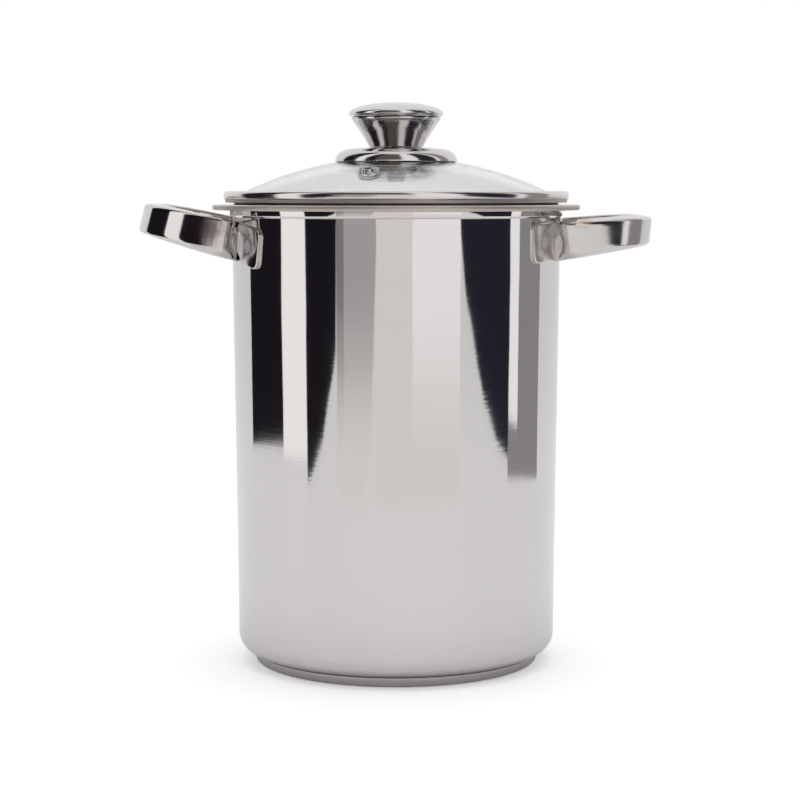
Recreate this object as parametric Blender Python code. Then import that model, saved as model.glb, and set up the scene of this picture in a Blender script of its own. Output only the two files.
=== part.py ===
"""A tall stainless steel stock pot with two hollow bow handles and a domed glass lid.

The pot is a deep-drawn body with a rolled lip, on an aluminium disc that a steel cap closes. Each handle
is a tube whose ends are pressed flat into ears and spot-welded to the body. The lid is a tempered glass
dome in a rolled steel rim, with a steam vent and a hollow steel knob held by one screw.

Metres, +Z up. The origin is the centre of the underside, and the handles lie along X.
"""

from math import cos, hypot, pi, radians, sin, sqrt

import bmesh
import bpy
from mathutils import Matrix, Vector
from mathutils.geometry import interpolate_bezier

MM = 0.001

# Fits and facets
GAP = 0.3 * MM  # left between two pieces that touch
CURVED_GAP = 0.45 * MM  # the same, for a flat washer on the curved glass
BIG_SIDES = 48  # facets round the body and the lid
KNOB_SIDES = 32
SMALL_SIDES = 20
MERGE_DISTANCE = 0.001 * MM
SHARP_ANGLE = 35  # degrees between two faces whose edge stays sharp
WIDE_STEPS = 7  # in the outline of a wide curve
TIGHT_STEPS = 3  # in the outline of a small rounding

# Pot body, drawn from one sheet
BORE_RADIUS = 80.0 * MM  # inside, just under the neck
BORE_DRAFT = 2.2 * MM  # how much the bore narrows down to the bottom corner
BODY_WALL = 0.6 * MM
LIP_HEIGHT = 227.6 * MM  # flat top of the lip over the ground
CORNER_RADIUS = 7.9 * MM  # inside, between wall and floor
NECK_DEPTH = 6.7 * MM  # from the lip down to where the wall starts to widen
NECK_STEP = 1.05 * MM  # how far the neck stands out from the wall
NECK_RUN = 1.1 * MM  # height that the step takes
FLARE_RADIUS = 2.5 * MM  # inside, from the neck out to the lip
LIP_REACH = 11.4 * MM  # from the bore out to the edge of the rolled lip
ROLL_RADIUS = 2.0 * MM  # of the rolled edge, outside
ROLL_TURN = 245  # degrees that the edge is rolled through

# Base: aluminium disc and the steel cap pressed over it
CAP_SETBACK = 7.0 * MM  # from the foot of the body's wall in to the cap's edge
CAP_WALL = 0.6 * MM
CAP_DRAFT = 0.9 * MM
CAP_EDGE = 1.2 * MM  # rounding of the underside's edge
CORE_THICKNESS = 4.4 * MM

# Handles, each a pressed tube
HANDLE_REACH = 45.8 * MM  # from the bore out to the outside of the bow
HANDLE_HALF_WIDTH = 42.0 * MM  # of the bow, across the pot
BOW_INSET = 1.0 * MM  # from the bore in to the centre of the bow's ellipse
BOW_SWEEP = 76  # degrees of the ellipse, from the nose to where the shoulder starts
FOLD_DIRECTION = (0.80, -0.60)  # in plan, the way that the strap leaves the fold of the front ear
SHOULDER_PULL = 0.45  # how far each end of the shoulder keeps its direction, as a share of its length
EAR_STEPS = 8
EAR_TIP_SHARE = 0.4  # of the first step, where one more ring rounds the ear's corners
SHOULDER_POINTS = 9
BOW_STEPS = 9
STRAP_THICKNESS = 8.0 * MM
STRAP_ROOT_HEIGHT = 19.2 * MM
STRAP_NOSE_HEIGHT = 13.6 * MM
STRAP_EDGE_RADIUS = 2.4 * MM
STRAP_EDGE_SHARE = 0.9  # most of the strap's half thickness that the rounding of an edge takes
STRAP_EDGE_STEPS = 2
STRAP_WALL = 0.9 * MM
LEAST_HOLLOW = 0.9 * MM  # where the tube closes to less than this, it is solid
PINCH_LENGTH = 11.0 * MM  # over which the tube closes into the ear
HANDLE_DROP = 18.3 * MM  # from the lip down to the middle of the fold
RISE_LEFT = 0.245  # slope of the left bow, measured outwards
RISE_RIGHT = 0.117
ROLL_LEFT = 0  # degrees that the left bow's outer face leans to look down
ROLL_RIGHT = 9
EAR_SLOPE_LEFT = 0.17  # how the left ear falls away along the body
EAR_SLOPE_RIGHT = 0.02
EAR_THICKNESS = 1.6 * MM  # two walls pressed together
EAR_START = 22.0  # degrees round the body from the handle's own axis
EAR_END = 38.5
EAR_CORNER = 3.0 * MM
WELD_ANGLE = 30.5
WELD_RADIUS = 2.7 * MM
WELD_TOP_RADIUS = 1.6 * MM
WELD_CROWN = 0.3 * MM  # how far a weld stands proud of its ear
DRAIN_RADIUS = 1.5 * MM  # hole on the inner side of each bow

# Lid glass
GLASS_MARGIN = 1.0 * MM  # from the bore in to the edge of the glass
GLASS_RISE = 19.05 * MM  # crown over the edge, outside
GLASS_THICKNESS = 3.5 * MM
GLASS_DROP = 0.3 * MM  # from the lip down to the lowest point of the glass
KNOB_HOLE_RADIUS = 5.0 * MM
VENT_HOLE_RADIUS = 3.4 * MM

# Lid rim, rolled from strip
RIM_WALL = 0.5 * MM
RIM_OVERHANG = 5.2 * MM  # from the bore out to the rim's widest band
RIM_STEP = 0.8 * MM  # how far the lower band is set back
RIM_HEIGHT = 5.7 * MM  # over the lip
RIM_STEP_HEIGHT = 1.7 * MM
RIM_SHOULDER = 1.6 * MM
RIM_GRIP = 2.9 * MM  # how far the rim reaches in over the glass
RIM_TOE = 2.0 * MM  # how far it reaches in under the glass
RIM_MOUTH_GAP = 0.35 * MM  # from the bore in to the part of the rim that drops into the mouth

# Steam vent
VENT_OFFSET = 50.8 * MM  # from the lid's axis
VENT_DIRECTION = -104.6  # degrees from +X
VENT_BORE = 1.9 * MM
VENT_FLANGE_RADIUS = 5.2 * MM
VENT_COLLAR_RADIUS = 2.9 * MM
VENT_COLLAR_HEIGHT = 2.0 * MM
VENT_WALL = 0.7 * MM
VENT_WASHER_RADIUS = 5.6 * MM

# Knob and what fixes it
KNOB_BASE_RADIUS = 30.2 * MM
KNOB_BASE_FLAT = 20.0 * MM
KNOB_BASE_HEIGHT = 6.8 * MM
KNOB_WALL = 0.8 * MM
KNOB_FOOT_RADIUS = 13.5 * MM
KNOB_TOP_RADIUS = 21.9 * MM
KNOB_HEIGHT = 14.2 * MM  # of the tapered body
KNOB_EDGE = 0.6 * MM  # upright stretch at the tapered body's top, and bevel at its foot
CAP_RIM_RADIUS = 23.3 * MM
CAP_RIM_HEIGHT = 2.0 * MM  # widest line of the cap over the tapered body
CAP_RIM_EDGE = 0.8 * MM  # height of the rounded edge under the cap's widest line
CAP_RIM_UNDERCUT = 0.4 * MM  # how far that edge turns in
CAP_CROWN = 5.6 * MM  # of the dome over its widest line
CAP_SPIGOT_DEPTH = 2.4 * MM  # of the cap's inner ring, down inside the tapered body
SCREW_RADIUS = 2.5 * MM
SCREW_CLEARANCE = 0.4 * MM
SCREW_HEAD_RADIUS = 4.5 * MM
SCREW_HEAD_HEIGHT = 2.8 * MM
SCREW_HEAD_EDGE = 0.9 * MM
SCREW_SLOT_LENGTH = 6.3 * MM
SCREW_SLOT_WIDTH = 1.0 * MM
SCREW_SLOT_DEPTH = 1.2 * MM
SCREW_GRIP = 8.5 * MM  # how far the screw goes up into the insert
INSERT_RADIUS = 6.0 * MM
INSERT_FLANGE_RADIUS = 9.0 * MM
INSERT_FLANGE = 1.5 * MM
INSERT_HEIGHT = 10.5 * MM
SEAL_RADIUS = 10.0 * MM
SEAL_THICKNESS = 1.6 * MM
WASHER_RADIUS = 8.0 * MM
WASHER_THICKNESS = 1.2 * MM
SPRING_WASHER_RADIUS = 4.8 * MM
SPRING_WASHER_SPLIT = 14  # degrees

# Worked out from the dimensions above
CORE_BOTTOM = CAP_WALL + GAP
BODY_UNDERSIDE = CORE_BOTTOM + CORE_THICKNESS + GAP
POT_FLOOR = BODY_UNDERSIDE + BODY_WALL
WALL_TOP = LIP_HEIGHT - NECK_DEPTH
CORNER_TOP = POT_FLOOR + CORNER_RADIUS
LIP_RADIUS = BORE_RADIUS + LIP_REACH
CAP_RADIUS = BORE_RADIUS + BODY_WALL - BORE_DRAFT - CAP_SETBACK
BOW_CENTRE = BORE_RADIUS - BOW_INSET
NOSE_REACH = BORE_RADIUS + HANDLE_REACH - STRAP_THICKNESS / 2
FOLD_HEIGHT = LIP_HEIGHT - HANDLE_DROP
GLASS_EDGE_RADIUS = BORE_RADIUS - GLASS_MARGIN
DOME_RADIUS = (GLASS_EDGE_RADIUS**2 + GLASS_RISE**2) / (2 * GLASS_RISE)
SCREW_HOLE_RADIUS = SCREW_RADIUS + SCREW_CLEARANCE
KNOB_TAPER = (KNOB_TOP_RADIUS - KNOB_FOOT_RADIUS) / (KNOB_HEIGHT - 2 * KNOB_EDGE)


def steel(name, colour, roughness):
    return material(name, colour, roughness, metallic=1.0)


def material(name, colour, roughness, metallic=0.0, transmission=0.0):
    """The finish of this name, which is made once and shared by like pieces."""
    made = bpy.data.materials.get(name) or bpy.data.materials.new(name)
    made.use_nodes = True
    shader = made.node_tree.nodes["Principled BSDF"]
    shader.inputs["Base Color"].default_value = (*colour, 1.0)
    shader.inputs["Roughness"].default_value = roughness
    shader.inputs["Metallic"].default_value = metallic
    shader.inputs["Transmission Weight"].default_value = transmission
    return made


def arc(centre, radius, start, end, steps, squash=1.0):
    """Points (r, z) along an arc between two angles in degrees. squash flattens it into an ellipse."""
    angles = [radians(start + (end - start) * i / steps) for i in range(steps + 1)]
    return [(centre[0] + radius * cos(a), centre[1] + radius * squash * sin(a)) for a in angles]


def beside(line, distance):
    """The line moved sideways, to the right of the way it runs, with mitred corners."""
    moved = []
    for i, point in enumerate(line):
        here = Vector(point)
        before = (here - Vector(line[i - 1])).normalized() if i else None
        after = (Vector(line[i + 1]) - here).normalized() if i < len(line) - 1 else before
        before = before or after
        sides = [Vector((way.y, -way.x)) for way in (before, after)]
        middle = (sides[0] + sides[1]).normalized()
        moved.append(tuple(here + middle * distance / middle.dot(sides[0])))
    return moved


def sheet(line, wall):
    """The closed outline of a sheet whose one face follows the line, with its wall on the line's right."""
    return line + beside(line, wall)[::-1]


def add_object(name, mesh, finish, parent=None):
    made = bpy.data.objects.new(name, mesh)
    mesh.materials.append(finish)
    bpy.context.scene.collection.objects.link(made)
    made.parent = parent
    return made


def mesh_from(builder, name):
    """A mesh of what is in the builder, with faces that point outwards and round faces shaded smooth."""
    bmesh.ops.remove_doubles(builder, verts=builder.verts, dist=MERGE_DISTANCE)
    bmesh.ops.recalc_face_normals(builder, faces=builder.faces)
    mesh = bpy.data.meshes.new(name)
    builder.to_mesh(mesh)
    builder.free()
    mesh.shade_smooth()
    mesh.set_sharp_from_angle(angle=radians(SHARP_ANGLE))
    return mesh


def turned(name, outline, finish, sides, parent=None, sweep=2 * pi):
    """An outline of points (r, z) turned about Z. Where the outline runs along the axis it is left open."""
    builder = bmesh.new()
    ring = [builder.verts.new((r, 0, z)) for r, z in outline]
    geometry = list(ring)
    for a, b in zip(ring, ring[1:] + ring[:1]):
        if max(a.co.x, b.co.x) > 0:
            geometry.append(builder.edges.new((a, b)))
    if sweep < 2 * pi:
        geometry.append(builder.faces.new(ring))
    bmesh.ops.spin(builder, geom=geometry, axis=(0, 0, 1), cent=(0, 0, 0), angle=sweep, steps=sides)
    return add_object(name, mesh_from(builder, name), finish, parent)


def cylinder_cutter(name, radius, start, end, parent=None, sides=SMALL_SIDES):
    """A hidden round bar between two points, which cuts holes."""
    along = Vector(end) - Vector(start)
    builder = bmesh.new()
    bar = {"radius1": radius, "radius2": radius, "depth": along.length}
    bmesh.ops.create_cone(builder, cap_ends=True, segments=sides, **bar)
    turn = along.to_track_quat("Z", "Y").to_matrix().to_4x4()
    place = Matrix.Translation((Vector(start) + Vector(end)) / 2)
    bmesh.ops.transform(builder, matrix=place @ turn, verts=builder.verts)
    return hidden(name, builder, parent)


def hidden(name, builder, parent=None):
    mesh = mesh_from(builder, name)
    cutter = bpy.data.objects.new(name, mesh)
    bpy.context.scene.collection.objects.link(cutter)
    cutter.parent = parent
    cutter.display_type = "WIRE"
    cutter.hide_render = True
    return cutter


def cut(target, cutter):
    difference = target.modifiers.new("cut " + cutter.name, "BOOLEAN")
    difference.operation = "DIFFERENCE"
    difference.object = cutter


def body_radius(height):
    """Outside radius of the pot's wall at a height."""
    down = (WALL_TOP - height) / (WALL_TOP - CORNER_TOP)
    return BORE_RADIUS + BODY_WALL - BORE_DRAFT * down


def pot_body():
    """The sheet's inner face, from the middle of the floor up the wall, over the lip and round its edge."""
    floor_radius = BORE_RADIUS - BORE_DRAFT - CORNER_RADIUS
    neck_radius = BORE_RADIUS + NECK_STEP
    flare_centre = (neck_radius + FLARE_RADIUS, LIP_HEIGHT - FLARE_RADIUS)
    roll_centre = (LIP_RADIUS - ROLL_RADIUS, LIP_HEIGHT - ROLL_RADIUS)
    line = [(0, POT_FLOOR)]
    line += arc((floor_radius, CORNER_TOP), CORNER_RADIUS, -90, 0, WIDE_STEPS)
    line += [(BORE_RADIUS, WALL_TOP), (neck_radius, WALL_TOP + NECK_RUN)]
    line += arc(flare_centre, FLARE_RADIUS, 180, 90, TIGHT_STEPS)
    line += arc(roll_centre, ROLL_RADIUS, 90, 90 - ROLL_TURN, WIDE_STEPS)
    finish = steel("polished_steel", (0.72, 0.70, 0.68), 0.12)
    turned("pot_body", sheet(line, BODY_WALL), finish, BIG_SIDES)


def base_cap():
    """A shallow steel cup, from its edge under the body's corner down and in to the middle."""
    corner_centre = BORE_RADIUS - BORE_DRAFT - CORNER_RADIUS
    outer_corner = CORNER_RADIUS + BODY_WALL
    past_centre = max(CAP_RADIUS - CAP_WALL - corner_centre, 0)
    top = CORNER_TOP - sqrt(outer_corner**2 - past_centre**2) - GAP
    foot = CAP_RADIUS - CAP_DRAFT
    line = [(CAP_RADIUS, top)]
    line += arc((foot - CAP_EDGE, CAP_EDGE), CAP_EDGE, 0, -90, TIGHT_STEPS)
    line += [(0, 0)]
    turned("base_cap", sheet(line, CAP_WALL), steel("base_steel", (0.62, 0.60, 0.59), 0.25), BIG_SIDES)


def base_core():
    """The disc that spreads the heat, closed in between the cap and the body."""
    radius = CAP_RADIUS - CAP_DRAFT - CAP_WALL - GAP
    top = CORE_BOTTOM + CORE_THICKNESS
    outline = [(0, CORE_BOTTOM), (radius - CAP_EDGE, CORE_BOTTOM), (radius, CORE_BOTTOM + CAP_EDGE)]
    outline += [(radius, top), (0, top)]
    turned("base_core", outline, steel("aluminium", (0.80, 0.81, 0.82), 0.45), BIG_SIDES)


def fold_radius():
    """Radius of the middle of an ear, which lies against the body."""
    return body_radius(FOLD_HEIGHT) + 2 * GAP + EAR_THICKNESS / 2


def round_body(degrees):
    """A point in plan on the ears' middle line, measured from the handle's axis towards the front."""
    return Vector((cos(radians(degrees)), -sin(radians(degrees)))) * fold_radius()


def half_plan():
    """The front half of the strap's middle line in plan: its ear, then its shoulder and bow to the nose."""
    ear = [round_body(EAR_END - (EAR_END - EAR_START) * i / EAR_STEPS) for i in range(EAR_STEPS + 1)]
    ear.insert(1, ear[0].lerp(ear[1], EAR_TIP_SHARE))
    long_axis = NOSE_REACH - BOW_CENTRE
    short_axis = HANDLE_HALF_WIDTH - STRAP_THICKNESS / 2
    angles = [radians(BOW_SWEEP * (1 - i / BOW_STEPS)) for i in range(BOW_STEPS + 1)]
    bow = [Vector((BOW_CENTRE + long_axis * cos(a), -short_axis * sin(a))) for a in angles]
    into_bow = (bow[1] - bow[0]).normalized()
    pull = (bow[0] - ear[-1]).length * SHOULDER_PULL
    knots = [ear[-1], ear[-1] + Vector(FOLD_DIRECTION) * pull, bow[0] - into_bow * pull, bow[0]]
    shoulder = interpolate_bezier(*[knot.to_3d() for knot in knots], SHOULDER_POINTS)
    return ear, [point.to_2d() for point in shoulder[1:-1]] + bow


def strap_section(centre, across, upward, roll, half_thickness, half_height):
    """One ring of the strap: a rounded rectangle that stands across the strap, rolled by some degrees."""
    corner = min(STRAP_EDGE_RADIUS, STRAP_EDGE_SHARE * half_thickness)
    ring = []
    for turn, (side, rise) in enumerate(((1, 1), (-1, 1), (-1, -1), (1, -1))):
        for step in range(STRAP_EDGE_STEPS + 1):
            angle = radians(90 * (turn + step / STRAP_EDGE_STEPS))
            out = side * (half_thickness - corner) + corner * cos(angle)
            up = rise * (half_height - corner) + corner * sin(angle)
            rolled_out = out * cos(radians(roll)) + up * sin(radians(roll))
            rolled_up = up * cos(radians(roll)) - out * sin(radians(roll))
            ring.append(centre + across * rolled_out + upward * rolled_up)
    return ring


def strap_rings(rise, roll, ear_slope, inset=0.0):
    """Rings from the front ear's tip to the rear ear's tip. An inset leaves only the inside of the tube."""
    ear, bow = half_plan()
    plan = ear + bow
    beyond_nose = Vector((bow[-2].x, -bow[-2].y))
    fold = len(ear) - 1
    run = [0.0]
    for a, b in zip(plan, plan[1:]):
        run.append(run[-1] + (b - a).length)
    bow_length = run[-1] - run[fold]
    front = []
    for i, here in enumerate(plan):
        neighbours = (plan[i - 1] if i else here, plan[i + 1] if i < len(plan) - 1 else beyond_nose)
        ways = [way.normalized() for way in (here - neighbours[0], neighbours[1] - here) if way.length > 0]
        sides = [Vector((way.y, -way.x)) for way in ways]
        middle = (sides[0] + sides[-1]).normalized()
        across = (middle / middle.dot(sides[0])).to_3d()
        past_fold = run[i] - run[fold]
        share = min(max(past_fold / PINCH_LENGTH, 0), 1)
        swell = share * share * (3 - 2 * share)
        thickness = EAR_THICKNESS + (STRAP_THICKNESS - EAR_THICKNESS) * swell
        upright_ear = Vector((-ways[0].x * ear_slope, -ways[0].y * ear_slope, 1)).normalized()
        upright_bow = Vector((-rise, 0, 1)).normalized()
        upward = upright_ear.lerp(upright_bow, swell).normalized()
        if past_fold <= 0:
            centre = FOLD_HEIGHT + ear_slope * past_fold
            height = STRAP_ROOT_HEIGHT
            if run[i] < EAR_CORNER:
                height -= 2 * (EAR_CORNER - sqrt(EAR_CORNER**2 - (EAR_CORNER - run[i]) ** 2))
        else:
            centre = FOLD_HEIGHT + rise * (here.x - plan[fold].x)
            height = STRAP_ROOT_HEIGHT + (STRAP_NOSE_HEIGHT - STRAP_ROOT_HEIGHT) * past_fold / bow_length
        if inset == 0 or thickness >= 2 * inset + LEAST_HOLLOW:
            place = Vector((here.x, here.y, centre))
            sizes = (thickness / 2 - inset, height / 2 - inset)
            front.append(strap_section(place, across, upward, roll * swell, *sizes))
    return front + [[Vector((x, -y, z)) for x, y, z in ring] for ring in front[-2::-1]]


def strap_builder(rings, side):
    """The closed tube through the rings, on the side of the pot that side gives."""
    builder = bmesh.new()
    loops = [[builder.verts.new((side * x, y, z)) for x, y, z in ring] for ring in rings]
    for first, second in zip(loops, loops[1:]):
        for i, vert in enumerate(first):
            following = (i + 1) % len(first)
            builder.faces.new((vert, first[following], second[following], second[i]))
    builder.faces.new(loops[0])
    builder.faces.new(loops[-1])
    return builder


def handle(name, side, rise, roll, ear_slope):
    """One pressed tube: two ears, and a bow that is hollow and drains through a hole on its inner side."""
    outside = strap_builder(strap_rings(rise, roll, ear_slope), side)
    finish = steel("handle_steel", (0.66, 0.63, 0.61), 0.15)
    made = add_object(name, mesh_from(outside, name), finish)
    inside = strap_builder(strap_rings(rise, roll, ear_slope, inset=STRAP_WALL), side)
    cut(made, hidden(name + "_hollow", inside))
    nose_z = FOLD_HEIGHT + rise * (NOSE_REACH - round_body(EAR_START).x)
    drain_start = (side * (NOSE_REACH - STRAP_THICKNESS), 0, nose_z)
    drain_end = (side * NOSE_REACH, 0, nose_z)
    cut(made, cylinder_cutter(name + "_drain", DRAIN_RADIUS, drain_start, drain_end))
    for end, front in (("front", 1), ("rear", -1)):
        weld(name, end, side, front, made, ear_slope)


def weld(handle_name, end, side, front, ear, ear_slope):
    """A spot weld: a slug that fills a hole in the ear, from the body out to just past the ear's face."""
    way = Vector((side * cos(radians(WELD_ANGLE)), -front * sin(radians(WELD_ANGLE)), 0))
    along_ear = radians(WELD_ANGLE - EAR_START) * fold_radius()
    centre = Vector((0, 0, FOLD_HEIGHT - ear_slope * along_ear))
    inner = body_radius(centre.z) + GAP
    outer = fold_radius() + EAR_THICKNESS / 2
    hole_start = centre + way * (inner - EAR_THICKNESS)
    hole_end = centre + way * (outer + EAR_THICKNESS)
    name = handle_name.replace("handle", "weld") + "_" + end
    cut(ear, cylinder_cutter(name + "_hole", WELD_RADIUS + GAP, hole_start, hole_end))
    flank = outer - inner
    outline = [(0, 0), (WELD_RADIUS, 0), (WELD_RADIUS, flank)]
    outline += [(WELD_TOP_RADIUS, flank + WELD_CROWN), (0, flank + WELD_CROWN)]
    slug = turned(name, outline, steel("weld_steel", (0.55, 0.55, 0.58), 0.4), SMALL_SIDES)
    slug.location = centre + way * inner
    slug.rotation_mode = "QUATERNION"
    slug.rotation_quaternion = way.to_track_quat("Z", "Y")


# The lid's pieces are measured from the plane of the lip, where their parent stands.


def glass_outer(radius):
    """Height of the outside of the glass over the lip, at a distance from the axis."""
    crown = glass_crown()
    return crown - DOME_RADIUS + sqrt(DOME_RADIUS**2 - radius**2)


def glass_inner(radius):
    inner_dome = DOME_RADIUS - GLASS_THICKNESS
    return glass_crown() - DOME_RADIUS + sqrt(inner_dome**2 - radius**2)


def glass_crown():
    inner_dome = DOME_RADIUS - GLASS_THICKNESS
    return DOME_RADIUS - GLASS_DROP - sqrt(inner_dome**2 - GLASS_EDGE_RADIUS**2)


def lid_glass(parent):
    span = GLASS_EDGE_RADIUS - KNOB_HOLE_RADIUS
    radii = [KNOB_HOLE_RADIUS + span * i / WIDE_STEPS for i in range(WIDE_STEPS + 1)]
    outline = [(r, glass_outer(r)) for r in radii] + [(r, glass_inner(r)) for r in radii[::-1]]
    finish = material("clear_glass", (0.93, 0.95, 0.95), 0.05, transmission=1.0)
    glass = turned("lid_glass", outline, finish, BIG_SIDES, parent)
    place = vent_place()
    reach = place.to_3x3() @ Vector((0, 0, 2 * GLASS_THICKNESS))
    start, end = place.translation - reach, place.translation + reach
    cut(glass, cylinder_cutter("vent_hole", VENT_HOLE_RADIUS, start, end, parent))


def lid_rim(parent):
    """A channel that grips the edge of the glass, from its edge on the outside round to its toe."""
    band = BORE_RADIUS + RIM_OVERHANG
    grip = GLASS_EDGE_RADIUS - RIM_GRIP
    shoulder_centre = (band - RIM_SHOULDER, RIM_HEIGHT - RIM_SHOULDER)
    mouth = BORE_RADIUS - RIM_MOUTH_GAP
    toe = GLASS_EDGE_RADIUS - RIM_TOE
    upright_wall = RIM_WALL * DOME_RADIUS / sqrt(DOME_RADIUS**2 - GLASS_EDGE_RADIUS**2)
    under_glass = GAP + upright_wall
    line = [(grip, glass_outer(grip) + GAP + RIM_WALL), (grip + RIM_SHOULDER, RIM_HEIGHT)]
    line += arc(shoulder_centre, RIM_SHOULDER, 90, 0, TIGHT_STEPS)
    line += [(band, RIM_STEP_HEIGHT + RIM_STEP), (band - RIM_STEP, RIM_STEP_HEIGHT)]
    line += [(band - RIM_STEP, GAP), (mouth + RIM_WALL, GAP)]
    line += [(r, glass_inner(r) - under_glass) for r in (mouth, toe)]
    finish = steel("polished_steel", (0.72, 0.70, 0.68), 0.12)
    turned("lid_rim", sheet(line, RIM_WALL), finish, BIG_SIDES, parent)


def vent_place():
    """Where the vent stands: on the outside of the glass, square to it."""
    way = radians(VENT_DIRECTION)
    spot = Vector((VENT_OFFSET * cos(way), VENT_OFFSET * sin(way), glass_outer(VENT_OFFSET)))
    dome_centre = Vector((0, 0, glass_crown() - DOME_RADIUS))
    upright = (spot - dome_centre).normalized()
    return Matrix.Translation(spot) @ upright.to_track_quat("Z", "Y").to_matrix().to_4x4()


def steam_vent(parent):
    """A steel eyelet, pushed through the glass and spread over a washer underneath."""
    neck = VENT_HOLE_RADIUS - GAP
    washer_top = -GLASS_THICKNESS - CURVED_GAP
    washer_bottom = washer_top - VENT_WALL
    spread = washer_bottom - GAP
    flange_top = GAP + VENT_WALL
    eyelet = [(VENT_BORE, VENT_COLLAR_HEIGHT), (VENT_COLLAR_RADIUS - VENT_WALL / 2, VENT_COLLAR_HEIGHT)]
    eyelet += [(VENT_COLLAR_RADIUS, VENT_COLLAR_HEIGHT - VENT_WALL / 2), (VENT_COLLAR_RADIUS, flange_top)]
    eyelet += [(VENT_FLANGE_RADIUS - VENT_WALL / 2, flange_top), (VENT_FLANGE_RADIUS, GAP), (neck, GAP)]
    eyelet += [(neck, spread), (neck + 2 * VENT_WALL, spread), (neck + VENT_WALL, spread - VENT_WALL)]
    eyelet += [(VENT_BORE, spread - VENT_WALL)]
    washer = [(neck + GAP, washer_top), (VENT_WASHER_RADIUS, washer_top)]
    washer += [(VENT_WASHER_RADIUS, washer_bottom), (neck + GAP, washer_bottom)]
    finish = steel("vent_steel", (0.66, 0.65, 0.64), 0.15)
    for name, outline in (("vent_eyelet", eyelet), ("vent_washer", washer)):
        turned(name, outline, finish, SMALL_SIDES, parent).matrix_local = vent_place()


def knob_base_top():
    return glass_outer(KNOB_BASE_RADIUS - KNOB_WALL) + GAP + KNOB_BASE_HEIGHT


def knob_base(parent):
    """The dished plate under the knob, from its screw hole out and down to its edge on the glass."""
    foot = knob_base_top() - KNOB_BASE_HEIGHT
    slope = KNOB_BASE_RADIUS - KNOB_BASE_FLAT
    line = [(SCREW_HOLE_RADIUS, knob_base_top())]
    line += arc((KNOB_BASE_FLAT, foot), slope, 90, 0, WIDE_STEPS, squash=KNOB_BASE_HEIGHT / slope)
    finish = steel("knob_steel", (0.66, 0.64, 0.63), 0.13)
    turned("knob_base", sheet(line, KNOB_WALL), finish, KNOB_SIDES, parent)


def knob_body(parent):
    """The tapered shell that the fingers grip, from its open top down and in to its screw hole."""
    foot = knob_base_top() + GAP
    top = foot + KNOB_HEIGHT
    line = [(KNOB_TOP_RADIUS, top), (KNOB_TOP_RADIUS, top - KNOB_EDGE)]
    line += [(KNOB_FOOT_RADIUS, foot + KNOB_EDGE), (KNOB_FOOT_RADIUS - KNOB_EDGE, foot)]
    line += [(SCREW_HOLE_RADIUS, foot)]
    finish = steel("knob_steel", (0.66, 0.64, 0.63), 0.13)
    turned("knob_body", sheet(line, KNOB_WALL), finish, KNOB_SIDES, parent)


def knob_cap(parent):
    """The domed cap: crown, rounded edge, ledge on the tapered body, and a ring that drops inside it."""
    seat = knob_base_top() + GAP + KNOB_HEIGHT + GAP
    widest = seat + CAP_RIM_HEIGHT - GAP
    spigot = KNOB_TOP_RADIUS - KNOB_WALL * hypot(1, KNOB_TAPER) - 2 * GAP
    bottom = seat - CAP_SPIGOT_DEPTH
    line = arc((0, widest), CAP_RIM_RADIUS, 90, 0, WIDE_STEPS, squash=CAP_CROWN / CAP_RIM_RADIUS)
    line += [(CAP_RIM_RADIUS - CAP_RIM_UNDERCUT, widest - CAP_RIM_EDGE), (KNOB_TOP_RADIUS, seat)]
    line += [(spigot, seat), (spigot - KNOB_TAPER * CAP_SPIGOT_DEPTH, bottom)]
    finish = steel("knob_cap_steel", (0.74, 0.74, 0.74), 0.10)
    turned("knob_cap", sheet(line, KNOB_WALL), finish, KNOB_SIDES, parent)


def insert_foot():
    return knob_base_top() + GAP + KNOB_WALL + GAP


def fixing_steel():
    return steel("fixing_steel", (0.60, 0.60, 0.61), 0.3)


def silicone():
    return material("silicone", (0.16, 0.16, 0.17), 0.6)


def knob_insert(parent):
    """The threaded metal insert in the knob's foot, which the screw goes up into."""
    foot = insert_foot()
    shoulder = foot + INSERT_FLANGE
    top = foot + INSERT_HEIGHT
    outline = [(SCREW_HOLE_RADIUS, foot), (INSERT_FLANGE_RADIUS, foot), (INSERT_FLANGE_RADIUS, shoulder)]
    outline += [(INSERT_RADIUS, shoulder), (INSERT_RADIUS, top), (SCREW_HOLE_RADIUS, top)]
    turned("knob_insert", outline, fixing_steel(), SMALL_SIDES, parent)


def upper_seal(parent):
    """The seal between the knob's base and the glass."""
    sleeve = KNOB_HOLE_RADIUS - GAP
    foot = glass_outer(sleeve) + 2 * GAP
    top = knob_base_top() - KNOB_WALL - GAP
    outline = [(SCREW_HOLE_RADIUS, top), (SCREW_HOLE_RADIUS, foot), (sleeve, foot)]
    outline += [(SEAL_RADIUS, glass_outer(SEAL_RADIUS) + 2 * GAP), (SEAL_RADIUS, top)]
    turned("upper_seal", outline, silicone(), SMALL_SIDES, parent)


def lower_seal_bottom():
    return glass_inner(SEAL_RADIUS) - GAP - SEAL_THICKNESS


def lower_seal(parent):
    """The seal under the glass, whose sleeve lines the hole in it."""
    sleeve = KNOB_HOLE_RADIUS - GAP
    sleeve_top = glass_outer(sleeve)
    bottom = lower_seal_bottom()
    top = bottom + SEAL_THICKNESS
    outline = [(SCREW_HOLE_RADIUS, bottom), (SEAL_RADIUS, bottom), (SEAL_RADIUS, top)]
    outline += [(sleeve, top), (sleeve, sleeve_top), (SCREW_HOLE_RADIUS, sleeve_top)]
    turned("lower_seal", outline, silicone(), SMALL_SIDES, parent)


def washer(name, radius, top, parent, sweep=2 * pi):
    """A flat ring round the screw, down from a height."""
    bottom = top - WASHER_THICKNESS
    outline = [(SCREW_HOLE_RADIUS, bottom), (radius, bottom), (radius, top), (SCREW_HOLE_RADIUS, top)]
    turned(name, outline, fixing_steel(), SMALL_SIDES, parent, sweep)


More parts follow.
